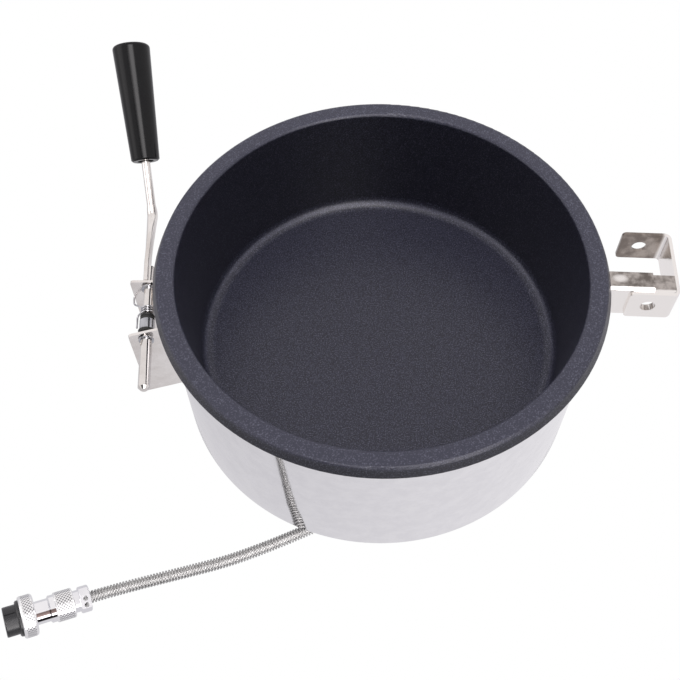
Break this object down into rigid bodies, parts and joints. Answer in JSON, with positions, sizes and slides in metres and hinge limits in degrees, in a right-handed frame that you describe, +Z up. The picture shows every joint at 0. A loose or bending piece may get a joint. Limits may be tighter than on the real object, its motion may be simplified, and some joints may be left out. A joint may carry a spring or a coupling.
{
  "type": "popcorn machine kettle",
  "caption": "Electrically heated round popcorn kettle that hangs by a hooked arm and a sprung pin with a tipping handle, with a metal-sleeved cable and screw-locked connector.",
  "frame": {"origin": "centre of the wiring cover's flat bottom, on the standing surface", "axes": "+Z up along the pot's axis, +X along the hanger arm, away from the handle"},
  "size_m": [0.3542, 0.3067, 0.1597],
  "materials": {
    "nonstick_coating": "matte black non-stick coating with a fine speckle",
    "polished_steel": "mirror-polished stainless steel",
    "plain_steel": "plain zinc-coated sheet steel",
    "nickel_plate": "polished nickel plate on steel",
    "polished_shaft": "polished steel rod",
    "zinc_plate": "bright zinc plate",
    "brass_plate": "bare brass",
    "heater_sheath": "dull heat-stained steel tube",
    "mineral_fibre": "pressed mineral fibre board",
    "ceramic": "glazed ceramic body",
    "white_plastic": "moulded heat-proof plastic",
    "wire_jacket": "woven heat-proof wire jacket",
    "black_rubber": "matte black rubber",
    "spring_wire": "drawn spring wire",
    "black_phenolic": "gloss black moulding",
    "metal_braid": "wound bright metal sleeve",
    "chrome_plate": "bright chrome plate, knurled where it is gripped"
  },
  "bodies": {
    "kettle": {"cooking_pot": "nonstick_coating", "outer_shell": "polished_steel", "base_plate": "plain_steel", "wiring_cover": "plain_steel", "cover_screws": "zinc_plate", "pot_studs": "zinc_plate", "clamp_nuts": "zinc_plate", "base_nuts": "zinc_plate", "heating_element": "heater_sheath", "element_clamp_plate": "plain_steel", "insulation_disc": "mineral_fibre", "thermostat": "ceramic", "thermostat_screws": "zinc_plate", "terminal_block": "white_plastic", "terminal_screw": "zinc_plate", "earth_screw": "brass_plate", "thermal_fuse": "ceramic", "internal_wires": "wire_jacket", "cable_gland": "zinc_plate", "gland_locknut": "zinc_plate", "hanger_arm": "nickel_plate", "hanger_yoke": "nickel_plate", "arm_rivets": "nickel_plate", "bracket_rivets": "nickel_plate", "shaft_bracket": "nickel_plate", "torsion_spring": "spring_wire", "braided_cable": "metal_braid", "plug_insert": "black_phenolic", "contact_sockets": "brass_plate", "plug_barrel": "chrome_plate", "rear_sleeve": "chrome_plate", "cable_clamp": "chrome_plate", "clamp_screws": "zinc_plate"},
    "handle": {"handle_shaft": "polished_shaft", "shaft_clips": "zinc_plate", "spring_sleeve": "zinc_plate", "damper_rings": "black_rubber", "shaft_washer": "black_rubber", "handle_lever": "nickel_plate", "lever_pin": "polished_shaft", "handle_grip": "black_phenolic"},
    "coupling_ring": {"coupling_ring": "chrome_plate"}
  },
  "joints": [
    {"name": "handle_hinge", "type": "hinge", "parent": "kettle", "child": "handle", "pos_m": [-0.12598, -0.01524, 0.0948], "axis": [0.1201, -0.9928, 0], "range_deg": [0, 80], "stiffness_Nm_per_rad": 0.02, "deforming": ["torsion_spring"]},
    {"name": "coupling_ring_turn", "type": "hinge", "parent": "kettle", "child": "coupling_ring", "pos_m": [-0.1803, -0.16793, 0.01501], "axis": [0.8721, 0.4253, -0.2419], "continuous": true}
  ]
}
